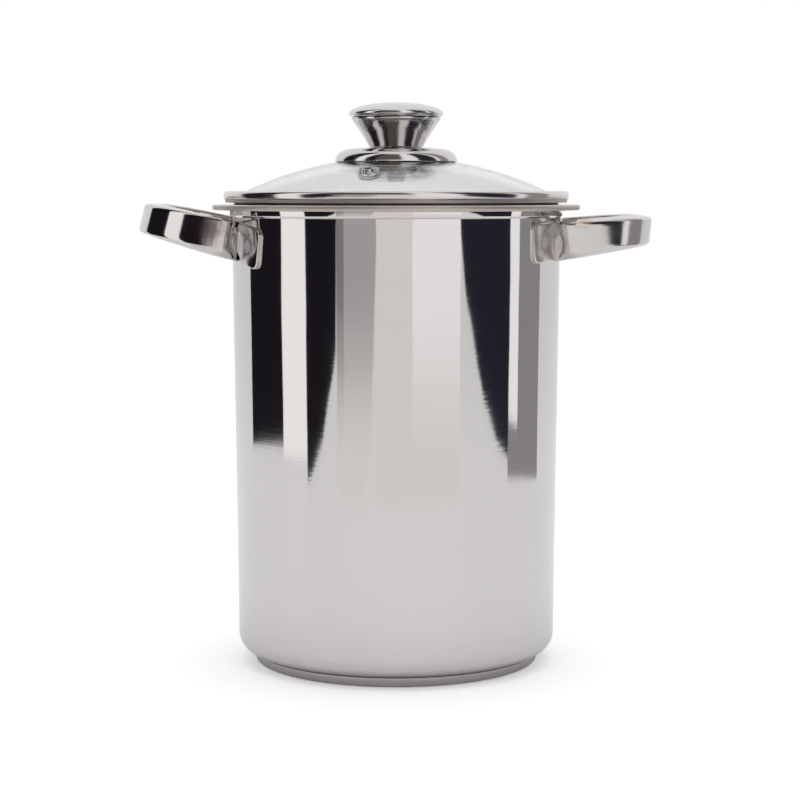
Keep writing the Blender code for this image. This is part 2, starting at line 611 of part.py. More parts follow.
def knob_screw(parent, head_top):
    """The screw that holds the knob on, up through the glass from inside the lid, with a cross slot."""
    head_bottom = head_top - SCREW_HEAD_HEIGHT
    tip = insert_foot() + SCREW_GRIP
    outline = [(0, tip), (SCREW_RADIUS, tip), (SCREW_RADIUS, head_top), (SCREW_HEAD_RADIUS, head_top)]
    outline += [(SCREW_HEAD_RADIUS, head_bottom + SCREW_HEAD_EDGE)]
    outline += [(SCREW_HEAD_RADIUS - SCREW_HEAD_EDGE, head_bottom), (0, head_bottom)]
    screw = turned("knob_screw", outline, fixing_steel(), SMALL_SIDES, parent)
    for turn in (0, 90):
        builder = bmesh.new()
        bmesh.ops.create_cube(builder, size=1)
        size = Matrix.Diagonal((SCREW_SLOT_LENGTH, SCREW_SLOT_WIDTH, 2 * SCREW_SLOT_DEPTH, 1))
        place = Matrix.Translation((0, 0, head_bottom)) @ Matrix.Rotation(radians(turn), 4, "Z")
        bmesh.ops.transform(builder, matrix=place @ size, verts=builder.verts)
        cut(screw, hidden("screw_slot_" + str(turn), builder, parent))


def knob_fixing(parent):
    """What holds the knob on, from the insert inside it down to the screw's head under the glass."""
    knob_insert(parent)
    upper_seal(parent)
    lower_seal(parent)
    flat_top = lower_seal_bottom() - GAP
    spring_top = flat_top - WASHER_THICKNESS - GAP
    washer("flat_washer", WASHER_RADIUS, flat_top, parent)
    spring_sweep = radians(360 - SPRING_WASHER_SPLIT)
    washer("spring_washer", SPRING_WASHER_RADIUS, spring_top, parent, spring_sweep)
    knob_screw(parent, spring_top - WASHER_THICKNESS - GAP)


for old in list(bpy.data.objects):
    bpy.data.objects.remove(old, do_unlink=True)

pot_body()
base_cap()
base_core()
handle("handle_left", -1, RISE_LEFT, ROLL_LEFT, EAR_SLOPE_LEFT)
handle("handle_right", 1, RISE_RIGHT, ROLL_RIGHT, EAR_SLOPE_RIGHT)

lid = bpy.data.objects.new("lid", None)
lid.location.z = LIP_HEIGHT
bpy.context.scene.collection.objects.link(lid)
lid_glass(lid)
lid_rim(lid)
steam_vent(lid)
knob_base(lid)
knob_body(lid)
knob_cap(lid)
knob_fixing(lid)
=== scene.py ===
"""A tall stainless steel stock pot with a glass lid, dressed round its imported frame. Metres, +Z up."""

from math import atan2, cos, hypot, pi, radians, sin, sqrt

import bpy
from mathutils import Matrix, Vector
from mathutils.geometry import interpolate_bezier


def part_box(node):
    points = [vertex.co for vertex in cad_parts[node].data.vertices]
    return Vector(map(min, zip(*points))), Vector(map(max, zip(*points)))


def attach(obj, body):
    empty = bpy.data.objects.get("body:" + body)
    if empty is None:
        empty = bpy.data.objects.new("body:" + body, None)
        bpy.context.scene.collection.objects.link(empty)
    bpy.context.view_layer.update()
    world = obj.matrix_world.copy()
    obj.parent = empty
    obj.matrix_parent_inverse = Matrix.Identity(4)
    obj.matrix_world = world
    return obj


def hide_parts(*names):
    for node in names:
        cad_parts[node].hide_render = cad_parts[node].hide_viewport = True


MM = 0.001

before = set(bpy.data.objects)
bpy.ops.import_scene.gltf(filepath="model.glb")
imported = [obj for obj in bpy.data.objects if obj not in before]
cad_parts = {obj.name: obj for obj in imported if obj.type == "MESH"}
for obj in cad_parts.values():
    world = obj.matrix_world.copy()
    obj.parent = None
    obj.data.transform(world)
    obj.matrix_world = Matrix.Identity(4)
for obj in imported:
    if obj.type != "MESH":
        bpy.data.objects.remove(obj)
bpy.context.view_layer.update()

# ------------------------------------------------------------------------------------------------------
# Pot body. One disc of stainless sheet, deep drawn into a tall cup with a slight draft. The mouth is stepped
# out into a neck, flared into a flat lip and rolled under at the edge. Polished on a lathe, so it is bright
# as a mirror, with fine lines that run round it.


def arc(centre, radius, start, end, steps, squash=1.0):
    """Points (r, z) along an arc between two angles in degrees. squash flattens it into an ellipse."""
    angles = [radians(start + (end - start) * i / steps) for i in range(steps + 1)]
    return [(centre[0] + radius * cos(a), centre[1] + radius * squash * sin(a)) for a in angles]


def turn(name, line, sides=160, closed_start=False):
    """A skin turned from points (r, z): a circle, extruded and scaled from each point to the next."""
    bpy.ops.object.select_all(action="DESELECT")
    (radius, height), *rest = line
    fill = "TRIFAN" if closed_start else "NOTHING"
    bpy.ops.mesh.primitive_circle_add(vertices=sides, radius=radius, fill_type=fill, location=(0, 0, height))
    piece = bpy.context.object
    piece.name = piece.data.name = name
    bpy.ops.object.transform_apply(location=True)
    bpy.ops.object.mode_set(mode="EDIT")
    bpy.ops.mesh.select_mode(type="EDGE")
    if closed_start:
        bpy.ops.mesh.select_all(action="DESELECT")
        bpy.ops.mesh.select_non_manifold(extend=False)
    for new_radius, new_height in rest:
        step = (0, 0, new_height - height)
        bpy.ops.mesh.extrude_edges_move(TRANSFORM_OT_translate={"value": step})
        grow = new_radius / radius
        bpy.ops.transform.resize(value=(grow, grow, 1), center_override=(0, 0, new_height))
        radius, height = new_radius, new_height
    bpy.ops.mesh.select_all(action="SELECT")
    bpy.ops.mesh.normals_make_consistent(inside=False)
    bpy.ops.object.mode_set(mode="OBJECT")
    return piece


def pick(piece):
    """Makes this piece the only one selected."""
    bpy.ops.object.select_all(action="DESELECT")
    piece.select_set(True)
    bpy.context.view_layer.objects.active = piece


def modify(piece, kind, **settings):
    """Adds a modifier with these settings and applies it."""
    pick(piece)
    modifier = piece.modifiers.new(kind, kind)
    for setting, value in settings.items():
        setattr(modifier, setting, value)
    bpy.ops.object.modifier_apply(modifier=modifier.name)


def thicken(piece, wall, edge=0.0):
    """Gives the skin its wall, inwards from the turned line, and breaks the sharp edges of the sheet."""
    modify(piece, "SOLIDIFY", thickness=wall, offset=-1, use_even_offset=True)
    if edge:
        modify(piece, "BEVEL", width=edge, segments=2, limit_method="ANGLE", angle_limit=radians(50))


def smooth(piece, angle=40):
    """Shades the piece smooth, but for the edges sharper than this angle."""
    pick(piece)
    bpy.ops.object.shade_smooth_by_angle(angle=radians(angle))


def finish_piece(piece, material, body, slot, *nodes):
    """The piece gets its material, rides on its body and stands for its CAD nodes."""
    piece.data.materials.clear()
    piece.data.materials.append(material)
    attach(piece, body)
    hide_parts(*nodes)


body_low, body_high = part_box("pot_body")
lip_radius = body_high.x
lip_top = body_high.z
body_underside = body_low.z
body_wall = 0.6 * MM
lip_overhang = 11.4 * MM
body_draft = 2.2 * MM
corner_radius = 8.5 * MM
neck_depth = 6.7 * MM
neck_rise = 1.1 * MM
neck_step = 1.05 * MM
flare_radius = 1.9 * MM
roll_radius = 2.0 * MM
roll_end = -155
underside_middle = 30 * MM
bore_radius = lip_radius - lip_overhang
wall_radius = bore_radius + body_wall
wall_top = lip_top - neck_depth
foot_radius = wall_radius - body_draft
corner_top = body_underside + corner_radius

body_line = [(underside_middle, body_underside)]
body_line += arc((foot_radius - corner_radius, corner_top), corner_radius, -90, 0, 12)
wall_steps = 14
for i in range(1, wall_steps + 1):
    share = i / wall_steps
    body_line.append((foot_radius + body_draft * share, corner_top + (wall_top - corner_top) * share))
neck_steps = 8
for i in range(1, neck_steps + 1):
    share = i / neck_steps
    outward = 0.5 - 0.5 * cos(pi * share)
    body_line.append((wall_radius + neck_step * outward, wall_top + neck_rise * share))
flare_centre = (wall_radius + neck_step + flare_radius, lip_top - body_wall - flare_radius)
body_line += arc(flare_centre, flare_radius, 180, 90, 8)
roll_centre = (lip_radius - roll_radius, lip_top - roll_radius)
body_line += arc(roll_centre, roll_radius - body_wall, 90, roll_end, 20)
pot = turn("pot_body_steel", body_line, sides=192, closed_start=True)
thicken(pot, body_wall)
smooth(pot)


def group(name, inputs, outputs):
    """An empty node group with these named sockets: the group, its input node and its output node."""
    made = bpy.data.node_groups.new(name, "ShaderNodeTree")
    for in_out, sockets in (("INPUT", inputs), ("OUTPUT", outputs)):
        for label, kind in sockets.items():
            made.interface.new_socket(name=label, in_out=in_out, socket_type="NodeSocket" + kind)
    return made, made.nodes.new("NodeGroupInput"), made.nodes.new("NodeGroupOutput")


def node(tree, kind, values=None, **settings):
    """A new node with these settings, and with these values on its own sockets."""
    made = tree.nodes.new(kind)
    for setting, value in settings.items():
        setattr(made, setting, value)
    for socket, value in (values or {}).items():
        made.inputs[socket].default_value = value
    return made


def new_finish(name, values):
    """A new material with these values on its shader: the material, its node tree and its shader."""
    made = bpy.data.materials.new(name)
    made.use_nodes = True
    shader = made.node_tree.nodes["Principled BSDF"]
    for socket, value in values.items():
        shader.inputs[socket].default_value = value
    return made, made.node_tree, shader


def polish_lines_group():
    """Fine lines left by the polishing wheel round a turned piece, and the sheet's broad unevenness."""
    inputs = dict.fromkeys(("Lines", "Line Depth", "Waviness", "Smooth", "Worn"), "Float")
    outputs = {"Normal": "Vector", "Roughness": "Float", "Mask": "Float"}
    tree, given, out = group("polish_lines", inputs, outputs)
    place = node(tree, "ShaderNodeTexCoord")
    stretch = node(tree, "ShaderNodeVectorMath", {1: (6, 6, 1)}, operation="MULTIPLY")
    across = node(tree, "ShaderNodeSeparateXYZ")
    fine = node(tree, "ShaderNodeMath", operation="MULTIPLY")
    lined = node(tree, "ShaderNodeCombineXYZ")
    lines = node(tree, "ShaderNodeTexNoise", {"Scale": 1, "Detail": 3})
    waves = node(tree, "ShaderNodeTexNoise", {"Scale": 22, "Detail": 1})
    shallow = node(tree, "ShaderNodeBump", {"Distance": 0.5 * MM})
    broad = node(tree, "ShaderNodeBump", {"Distance": 10 * MM})
    rough = node(tree, "ShaderNodeMapRange")
    link = tree.links.new
    link(place.outputs["Object"], stretch.inputs[0])
    link(stretch.outputs[0], across.inputs[0])
    link(across.outputs["X"], lined.inputs["X"])
    link(across.outputs["Y"], lined.inputs["Y"])
    link(across.outputs["Z"], fine.inputs[0])
    link(given.outputs["Lines"], fine.inputs[1])
    link(fine.outputs[0], lined.inputs["Z"])
    link(lined.outputs[0], lines.inputs["Vector"])
    link(place.outputs["Object"], waves.inputs["Vector"])
    link(waves.outputs["Fac"], broad.inputs["Height"])
    link(given.outputs["Waviness"], broad.inputs["Strength"])
    link(lines.outputs["Fac"], shallow.inputs["Height"])
    link(given.outputs["Line Depth"], shallow.inputs["Strength"])
    link(broad.outputs["Normal"], shallow.inputs["Normal"])
    link(lines.outputs["Fac"], rough.inputs["Value"])
    link(given.outputs["Smooth"], rough.inputs["To Min"])
    link(given.outputs["Worn"], rough.inputs["To Max"])
    link(shallow.outputs["Normal"], out.inputs["Normal"])
    link(rough.outputs["Result"], out.inputs["Roughness"])
    link(lines.outputs["Fac"], out.inputs["Mask"])
    return tree


polish_lines = polish_lines_group()


def polished_steel(name, crest, valley, roughness, waviness=0.02, depth=0.012, lines=1100):
    """Steel with turned polish lines. It is valley coloured in them and crest coloured between them, and its
    roughness goes from the first value in them to the second between them."""
    made, tree, shader = new_finish(name, {"Metallic": 1.0})
    values = {"Lines": lines, "Line Depth": depth, "Waviness": waviness}
    values |= {"Smooth": roughness[0], "Worn": roughness[1]}
    polish = node(tree, "ShaderNodeGroup", values, node_tree=polish_lines)
    tint = node(tree, "ShaderNodeMix", {"A": (*valley, 1), "B": (*crest, 1)}, data_type="RGBA")
    tree.links.new(polish.outputs["Mask"], tint.inputs["Factor"])
    tree.links.new(tint.outputs["Result"], shader.inputs["Base Color"])
    tree.links.new(polish.outputs["Roughness"], shader.inputs["Roughness"])
    tree.links.new(polish.outputs["Normal"], shader.inputs["Normal"])
    return made


def stretch_glints(material, amount, turn_share=0.25):
    """Glints spread across the polish lines: the grain runs round Z, turned by a share of a full turn."""
    tree = material.node_tree
    shader = tree.nodes["Principled BSDF"]
    grain = node(tree, "ShaderNodeTangent", direction_type="RADIAL", axis="Z")
    shader.inputs["Anisotropic"].default_value = amount
    shader.inputs["Anisotropic Rotation"].default_value = turn_share
    tree.links.new(grain.outputs["Tangent"], shader.inputs["Tangent"])


def lay_over(material, effect, values, sockets):
    """Passes what feeds these sockets of the shader through a node group first."""
    tree = material.node_tree
    shader = tree.nodes["Principled BSDF"]
    layer = node(tree, "ShaderNodeGroup", values, node_tree=effect)
    for socket in sockets:
        tree.links.new(shader.inputs[socket].links[0].from_socket, layer.inputs[socket])
        tree.links.new(layer.outputs[socket], shader.inputs[socket])


def dull_shaded_band_group():
    """A dull, finely speckled band between two heights, whose colour is painted shade."""
    outputs = {"Base Color": "Color", "Roughness": "Float", "Normal": "Vector"}
    inputs = dict.fromkeys(("Middle", "Half Height", "Dullness"), "Float") | {"Dark": "Color", "Light": "Color"}
    tree, given, out = group("dull_shaded_band", outputs | inputs, outputs)
    place = node(tree, "ShaderNodeTexCoord")
    parts = node(tree, "ShaderNodeSeparateXYZ")
    inside = node(tree, "ShaderNodeMath", operation="COMPARE")
    grain = node(tree, "ShaderNodeTexNoise", {"Scale": 2200, "Detail": 3})
    speckle = node(tree, "ShaderNodeMix", data_type="RGBA")
    tint = node(tree, "ShaderNodeMix", data_type="RGBA")
    rough = node(tree, "ShaderNodeMix", data_type="FLOAT")
    raised = node(tree, "ShaderNodeBump", {"Distance": 0.2 * MM})
    link = tree.links.new
    link(place.outputs["Object"], parts.inputs["Vector"])
    link(place.outputs["Object"], grain.inputs["Vector"])
    link(parts.outputs["Z"], inside.inputs[0])
    link(given.outputs["Middle"], inside.inputs[1])
    link(given.outputs["Half Height"], inside.inputs[2])
    link(grain.outputs["Fac"], speckle.inputs["Factor"])
    link(given.outputs["Dark"], speckle.inputs["A"])
    link(given.outputs["Light"], speckle.inputs["B"])
    link(inside.outputs[0], tint.inputs["Factor"])
    link(given.outputs["Base Color"], tint.inputs["A"])
    link(speckle.outputs["Result"], tint.inputs["B"])
    link(inside.outputs[0], rough.inputs["Factor"])
    link(given.outputs["Roughness"], rough.inputs["A"])
    link(given.outputs["Dullness"], rough.inputs["B"])
    link(inside.outputs[0], raised.inputs["Strength"])
    link(grain.outputs["Fac"], raised.inputs["Height"])
    link(given.outputs["Normal"], raised.inputs["Normal"])
    link(tint.outputs["Result"], out.inputs["Base Color"])
    link(rough.outputs["Result"], out.inputs["Roughness"])
    link(raised.outputs["Normal"], out.inputs["Normal"])
    return tree


dull_shaded_band = dull_shaded_band_group()


def paint_dull_shaded_band(material, low, high, colour, roughness):
    """Between two heights the steel takes this duller, speckled colour, which is painted shade."""
    dark = (*[0.72 * value for value in colour], 1)
    light = (*[1.22 * value for value in colour], 1)
    values = {"Middle": (low + high) / 2, "Half Height": (high - low) / 2}
    values |= {"Dark": dark, "Light": light, "Dullness": roughness}
    lay_over(material, dull_shaded_band, values, ("Base Color", "Roughness", "Normal"))


body_steel = polished_steel("body_steel", (0.72, 0.700, 0.692), (0.69, 0.672, 0.662), (0.035, 0.075))
stretch_glints(body_steel, 0.6)
# Painted shade: a beige, speckled band under the rolled lip stands in for the shading of the flare's underside.
painted_lip_shade = (0.60, 0.54, 0.50)
roll_band_low = lip_top - 3.4 * MM
roll_band_high = lip_top - 0.9 * MM
paint_dull_shaded_band(body_steel, roll_band_low, roll_band_high, painted_lip_shade, 0.45)
finish_piece(pot, body_steel, "pot", "polished_steel", "pot_body")

# ------------------------------------------------------------------------------------------------------
# Base. A thick aluminium disc bonded under the pot to spread the heat, with a shallow steel cap pressed up
# round it until its edge meets the body's corner. The cap's side is satin, duller than the body, with painted
# shade in the seam under the corner.

cap_low, cap_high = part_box("base_cap")
cap_radius = cap_high.x
cap_top = cap_high.z
cap_wall = 0.6 * MM
cap_draft = 0.9 * MM
cap_edge = 1.6 * MM
cap_seam = 0.9 * MM
sheet_edge = 0.12 * MM
cap_line = [(8 * MM, 0.0), (40 * MM, 0.0)]
cap_line += arc((cap_radius - cap_draft - cap_edge, cap_edge), cap_edge, -90, 0, 7)
cap_line += [(cap_radius - 0.35 * cap_draft, cap_top * 0.6), (cap_radius, cap_top)]
cap = turn("base_cap_steel", cap_line, closed_start=True)
thicken(cap, cap_wall, edge=sheet_edge)
smooth(cap)
satin = ((0.56, 0.53, 0.53), (0.50, 0.475, 0.475), (0.26, 0.36))
cap_steel = polished_steel("base_steel", *satin, depth=0.05, lines=900)
# Painted shade: a near-black band in the seam under the body's corner.
seam_shade = (0.11, 0.095, 0.095)
paint_dull_shaded_band(cap_steel, cap_top - cap_seam, cap_top + 0.1 * MM, seam_shade, 0.5)
finish_piece(cap, cap_steel, "pot", "base_steel", "base_cap")


def mottle_group():
    """Two near colours in fine patches, with their grain."""
    inputs = {"Scale": "Float", "Main": "Color", "Spots": "Color", "Grain": "Float"}
    tree, given, out = group("mottle", inputs, {"Base Color": "Color", "Normal": "Vector"})
    place = node(tree, "ShaderNodeTexCoord")
    grain = node(tree, "ShaderNodeTexNoise", {"Detail": 4})
    tint = node(tree, "ShaderNodeMix", data_type="RGBA")
    raised = node(tree, "ShaderNodeBump", {"Distance": 0.5 * MM})
    link = tree.links.new
    link(place.outputs["Object"], grain.inputs["Vector"])
    link(given.outputs["Scale"], grain.inputs["Scale"])
    link(grain.outputs["Fac"], tint.inputs["Factor"])
    link(given.outputs["Main"], tint.inputs["A"])
    link(given.outputs["Spots"], tint.inputs["B"])
    link(grain.outputs["Fac"], raised.inputs["Height"])
    link(given.outputs["Grain"], raised.inputs["Strength"])
    link(tint.outputs["Result"], out.inputs["Base Color"])
    link(raised.outputs["Normal"], out.inputs["Normal"])
    return tree


mottle = mottle_group()


def plain_finish(name, colour, spot_colour, roughness, metallic, scale, bump):
    """A mottled finish for a hidden or rough piece."""
    made, tree, shader = new_finish(name, {"Metallic": metallic, "Roughness": roughness})
    values = {"Scale": scale, "Main": (*colour, 1), "Spots": (*spot_colour, 1), "Grain": bump}
    mottled = node(tree, "ShaderNodeGroup", values, node_tree=mottle)
    tree.links.new(mottled.outputs["Base Color"], shader.inputs["Base Color"])
    tree.links.new(mottled.outputs["Normal"], shader.inputs["Normal"])
    return made


def dress(cad_node, material):
    """A CAD node that keeps its shape gets its finish."""
    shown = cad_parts[cad_node]
    shown.data.materials.clear()
    shown.data.materials.append(material)


cut_aluminium = plain_finish("cut_aluminium", (0.80, 0.81, 0.82), (0.72, 0.73, 0.74), 0.45, 1.0, 900, 0.1)
dress("base_core", cut_aluminium)

# ------------------------------------------------------------------------------------------------------
# Handles. Each is a length of steel tube, pressed to a tall oval and bent into a bow. Its ends are pressed
# flat into ears, folded back along the body and spot-welded. The press leaves a lens-shaped dent where the
# tube closes, and the weld's heat leaves a straw and brown tint in the polish.

fold_angle = 22.0
ear_end_angle = 37.2
weld_angle = 30.5
ear_thickness = 1.6 * MM
ear_radius = wall_radius - body_draft * 0.05 + 1.3 * MM
ear_corner = 3.0 * MM
strap_thickness = 8.0 * MM
strap_root_height = 19.2 * MM
strap_nose_height = 13.6 * MM
strap_top_round = 1.5 * MM
strap_root_round = 5.5 * MM
bow_half_width = 42.0 * MM
bow_centre = bore_radius - 1.0 * MM
nose_radius = bore_radius + 41.8 * MM
bow_sweep = 76
fold_height = lip_top - 18.3 * MM
pinch_reach = 5.5 * MM
pinch_length = 6.0 * MM
pad_reach = 4.5 * MM
pad_height = 0.35 * MM
pad_edge = 0.8 * MM
dimple_radius = 3.6 * MM
dimple_depth = 0.55 * MM
plan_steps = 34
shoulder_steps = 30
corner_steps = 8
flat_steps = 8


def on_body(degrees):
    """A point in plan on the middle of the ear, measured round the body from +X towards the front."""
    return Vector((cos(radians(degrees)), -sin(radians(degrees)))) * ear_radius


def half_bow():
    """The front half of the strap's middle line in plan, and where the fold is in it."""
    shares = [i / plan_steps for i in range(plan_steps + 1)]
    ear = [on_body(ear_end_angle + (fold_angle - ear_end_angle) * share) for share in shares]
    long_axis = nose_radius - bow_centre
    short_axis = bow_half_width - strap_thickness / 2
    angles = [radians(bow_sweep * (1 - share)) for share in shares]
    bow = [Vector((bow_centre + long_axis * cos(a), -short_axis * sin(a))) for a in angles]
    into_bow = (bow[1] - bow[0]).normalized()
    off_body = Vector((0.80, -0.60))
    pull = (bow[0] - ear[-1]).length * 0.45
    knots = (ear[-1], ear[-1] + off_body * pull, bow[0] - into_bow * pull, bow[0])
    shoulder = interpolate_bezier(*[knot.to_3d() for knot in knots], shoulder_steps)
    return ear + [point.to_2d() for point in shoulder[1:-1]] + bow, len(ear) - 1


def strap_section(thickness, height, top_round, bottom_round):
    """Points (out, up) round the strap: tight corners above, longer ones below."""
    corners = []
    for quarter, (side, rise) in enumerate(((1, 1), (-1, 1), (-1, -1), (1, -1))):
        tall = top_round if rise > 0 else bottom_round
        wide = min(tall, 0.46 * thickness)
        for step in range(corner_steps + 1):
            angle = radians(90 * (quarter + step / corner_steps))
            out = side * (thickness / 2 - wide) + wide * cos(angle)
            corners.append(Vector((out, rise * (height / 2 - tall) + tall * sin(angle))))
    points = []
    for i, here in enumerate(corners):
        points.append(here)
        if i % (corner_steps + 1) == corner_steps:
            following = corners[(i + 1) % len(corners)]
            points += [here.lerp(following, step / flat_steps) for step in range(1, flat_steps)]
    return points


def swell(past, length):
    """0 to 1 with soft ends, over a length."""
    share = min(max(past / length, 0), 1)
    return share * share * (3 - 2 * share)


def strap_ring(past, run_to_tip, bow_length):
    """The section's points (out, up) a way past the fold, or before it on the ear."""
    opened = swell(past, pinch_reach + pinch_length)
    thickness = ear_thickness + (strap_thickness - ear_thickness) * opened
    far = min(max(past, 0) / bow_length, 1)
    height = strap_root_height + (strap_nose_height - strap_root_height) * far
    if run_to_tip < ear_corner:
        height -= 2 * (ear_corner - sqrt(ear_corner**2 - (ear_corner - run_to_tip) ** 2))
    flat_round = 0.45 * ear_thickness
    top_round = flat_round + (strap_top_round - flat_round) * opened
    long_round = strap_root_round + (strap_top_round - strap_root_round) * far
    bottom_round = flat_round + (long_round - flat_round) * opened
    ring = []
    for out, up in strap_section(thickness, height, top_round, bottom_round):
        level = min(abs(up) / (height / 2), 1)
        if past > 0:
            pressed = swell(past - pinch_reach * (1 - level * level), 0.55 * pinch_length)
            flat_out = max(-ear_thickness / 2, min(ear_thickness / 2, out))
            out = flat_out + (out - flat_out) * pressed
        elif out > 0:
            out += pad_height * swell(past + pad_reach * (1 - level * level), pad_edge) * (1 - level**6)
            along_weld = radians(weld_angle - fold_angle) * ear_radius + past
            from_weld = hypot(along_weld, up)
            if from_weld < dimple_radius:
                out -= dimple_depth * (0.5 + 0.5 * cos(pi * from_weld / dimple_radius))
        ring.append((out, up))
    return ring


def close_up(piece):
    """Merges the points where an outline meets itself, fills open ends and turns the faces outwards."""
    pick(piece)
    bpy.ops.object.mode_set(mode="EDIT")
    bpy.ops.mesh.select_all(action="SELECT")
    bpy.ops.mesh.remove_doubles(threshold=0.01 * MM)
    bpy.ops.mesh.fill_holes(sides=0)
    bpy.ops.mesh.normals_make_consistent(inside=False)
    bpy.ops.object.mode_set(mode="OBJECT")


def make_handle(name, side, rise, roll, ear_slope):
    """A flat grid, rolled into a tube along the bow's middle line and pressed at both ends."""
    plan, fold = half_bow()
    run = [0.0]
    for a, b in zip(plan, plan[1:]):
        run.append(run[-1] + (b - a).length)
    past_nose = Vector((plan[-2].x, -plan[-2].y))
    rings = []
    for i, here in enumerate(plan):
        neighbours = (plan[i - 1] if i else here, plan[i + 1] if i < len(plan) - 1 else past_nose)
        ways = [way.normalized() for way in (here - neighbours[0], neighbours[1] - here) if way.length > 0]
        sides = [Vector((way.y, -way.x)) for way in ways]
        middle = (sides[0] + sides[-1]).normalized()
        across = (middle / middle.dot(sides[0])).to_3d()
        past = run[i] - run[fold]
        climb = rise * (here.x - plan[fold].x) if past > 0 else ear_slope * past
        centre = Vector((here.x, here.y, fold_height + climb))
        upright_ear = Vector((-ways[0].x * ear_slope, -ways[0].y * ear_slope, 1)).normalized()
        upright_bow = Vector((-rise, 0, 1)).normalized()
        opened = swell(past, pinch_reach + pinch_length)
        upward = upright_ear.lerp(upright_bow, opened).normalized()
        lean = radians(roll * opened)
        ring = []
        for out, up in strap_ring(past, run[i], run[-1] - run[fold]):
            rolled = across * (out * cos(lean) + up * sin(lean)) + upward * (up * cos(lean) - out * sin(lean))
            ring.append(centre + rolled)
        rings.append(ring)
    rings += [[Vector((x, -y, z)) for x, y, z in ring] for ring in rings[-2::-1]]
    around = len(rings[0])
    bpy.ops.object.select_all(action="DESELECT")
    bpy.ops.mesh.primitive_grid_add(x_subdivisions=len(rings) - 1, y_subdivisions=around, size=1)
    strap = bpy.context.object
    strap.name = strap.data.name = name
    for vert in strap.data.vertices:
        i = round((vert.co.x + 0.5) * (len(rings) - 1))
        x, y, z = rings[i][round((vert.co.y + 0.5) * around) % around]
        vert.co = (side * x, y, z)
    close_up(strap)
    smooth(strap, 32)
    return strap


def tint_and_shade_group():
    """A ragged patch round a point that tints and dulls the polish, used for heat tint and for painted shade.
    """
    outputs = {"Base Color": "Color", "Roughness": "Float"}
    inputs = {"Middle": "Vector", "Reach": "Float", "Tint And Shade": "Color", "Strength": "Float", "Dullness": "Float"}
    tree, given, out = group("tint_and_shade", outputs | inputs, outputs)
    place = node(tree, "ShaderNodeTexCoord")
    patchy = node(tree, "ShaderNodeTexNoise", {"Scale": 160, "Detail": 3})
    away = node(tree, "ShaderNodeVectorMath", operation="DISTANCE")
    uneven = node(tree, "ShaderNodeMath", {1: 0.8}, operation="MULTIPLY")
    outer = node(tree, "ShaderNodeMath", {1: 1.3}, operation="MULTIPLY")
    inner = node(tree, "ShaderNodeMath", {1: 0.5}, operation="MULTIPLY")
    ragged = node(tree, "ShaderNodeMath", operation="MULTIPLY_ADD")
    near = node(tree, "ShaderNodeMapRange", interpolation_type="SMOOTHSTEP")
    tinted = node(tree, "ShaderNodeMix", data_type="RGBA", blend_type="MULTIPLY")
    duller = node(tree, "ShaderNodeMix", data_type="FLOAT")
    link = tree.links.new
    link(place.outputs["Object"], patchy.inputs["Vector"])
    link(place.outputs["Object"], away.inputs[0])
    link(given.outputs["Middle"], away.inputs[1])
    for scaled in (uneven, outer, inner):
        link(given.outputs["Reach"], scaled.inputs[0])
    link(patchy.outputs["Fac"], ragged.inputs[0])
    link(uneven.outputs[0], ragged.inputs[1])
    link(away.outputs["Value"], ragged.inputs[2])
    link(ragged.outputs[0], near.inputs["Value"])
    link(outer.outputs[0], near.inputs["From Min"])
    link(inner.outputs[0], near.inputs["From Max"])
    link(given.outputs["Strength"], near.inputs["To Max"])
    link(near.outputs["Result"], tinted.inputs["Factor"])
    link(given.outputs["Base Color"], tinted.inputs["A"])
    link(given.outputs["Tint And Shade"], tinted.inputs["B"])
    link(near.outputs["Result"], duller.inputs["Factor"])
    link(given.outputs["Roughness"], duller.inputs["A"])
    link(given.outputs["Dullness"], duller.inputs["B"])
    link(tinted.outputs["Result"], out.inputs["Base Color"])
    link(duller.outputs["Result"], out.inputs["Roughness"])
    return tree


tint_and_shade = tint_and_shade_group()


def lay_tint_and_shade(material, middle, reach, colour, strength, roughness):
    """Lays one tinted patch round a point of a handle. At the left strap's root the patch is painted shade."""
    values = {"Middle": middle, "Reach": reach, "Tint And Shade": (*colour, 1), "Strength": strength}
    values["Dullness"] = roughness
    lay_over(material, tint_and_shade, values, ("Base Color", "Roughness"))


def weld_spot(side, front, ear_slope):
    """Where a weld lies on its ear, and the way it faces."""
    way = Vector((side * cos(radians(weld_angle)), -front * sin(radians(weld_angle)), 0))
    drop = ear_slope * radians(weld_angle - fold_angle) * ear_radius
    return Vector((0, 0, fold_height - drop)) + way * (ear_radius + ear_thickness / 2), way


handle_crest = (0.71, 0.69, 0.675)
handle_valley = (0.62, 0.60, 0.585)
straw = (1.0, 0.80, 0.55)
brown = (0.80, 0.46, 0.24)
